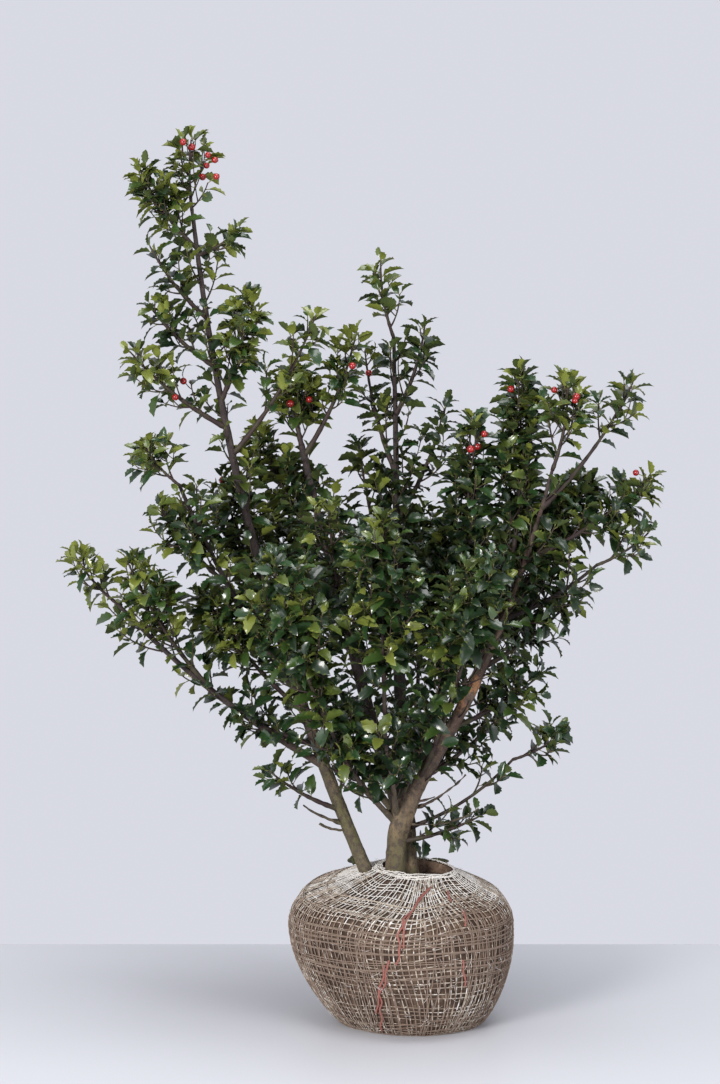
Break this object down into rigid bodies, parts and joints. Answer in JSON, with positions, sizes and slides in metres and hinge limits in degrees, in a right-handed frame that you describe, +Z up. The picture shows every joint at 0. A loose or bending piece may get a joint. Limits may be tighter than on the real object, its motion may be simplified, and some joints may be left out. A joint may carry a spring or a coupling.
{
  "type": "meserve holly shrub on its root ball",
  "caption": "Open, upright evergreen holly shrub with spiny leaves and red berries on spreading stems, standing on a round root ball wrapped in coarse netting.",
  "frame": {"origin": "centre of the flat underside of the root ball, on the ground", "axes": "+Z up, +Y away from the viewer of the best side, +X to that viewer's right; the tall leader leans to -X"},
  "size_m": [0.7519, 0.4646, 1.1359],
  "materials": {
    "bark": "matte",
    "foliage": "gloss",
    "young_foliage": "satin",
    "berries": "gloss",
    "netting": "matte",
    "red_strands": "matte",
    "soil": "matte"
  },
  "bodies": {
    "root": {"back_bough": "bark", "back_foliage": "foliage", "back_left_bough": "bark", "back_left_foliage": "foliage", "back_right_foliage": "foliage", "centre_left_fork_foliage": "foliage", "centre_left_low_foliage": "foliage", "centre_left_stem": "bark", "centre_left_top_foliage": "foliage", "centre_stem": "bark", "far_left_bough": "bark", "far_left_foliage": "foliage", "front_bough": "bark", "front_left_bough": "bark", "front_left_foliage": "foliage", "front_right_foliage": "foliage", "front_top_foliage": "foliage", "inner_right_foliage": "foliage", "leader_left_high_foliage": "foliage", "leader_left_low_foliage": "foliage", "leader_left_mid_foliage": "foliage", "leader_right_high_foliage": "foliage", "leader_stem": "bark", "leader_top_foliage": "foliage", "left_bough": "bark", "left_fork_foliage": "foliage", "left_inner_foliage": "foliage", "left_mid_foliage": "foliage", "left_outer_foliage": "foliage", "left_top_foliage": "foliage", "left_under_foliage": "foliage", "low_front_left_foliage": "foliage", "low_front_right_foliage": "foliage", "low_right_bough": "bark", "low_right_foliage": "foliage", "low_right_inner_foliage": "foliage", "lowest_left_foliage": "foliage", "lowest_right_foliage": "foliage", "middle_foliage": "foliage", "right_inner_left_foliage": "foliage", "right_inner_top_foliage": "foliage", "right_low_foliage": "foliage", "right_low_outer_foliage": "foliage", "right_mid_foliage": "foliage", "right_outer_top_foliage": "foliage", "right_side_bough": "bark", "right_side_foliage": "foliage", "right_stem": "bark", "right_tip_foliage": "foliage", "right_top_foliage": "foliage", "root_ball": "netting", "spire_left_foliage": "foliage", "spire_low_left_foliage": "foliage", "spire_low_right_foliage": "foliage", "spire_right_foliage": "foliage", "spire_top_foliage": "foliage", "trunk": "bark", "upper_inner_foliage": "foliage", "upper_left_foliage": "foliage", "upper_mid_foliage": "foliage"}
  },
  "joints": []
}
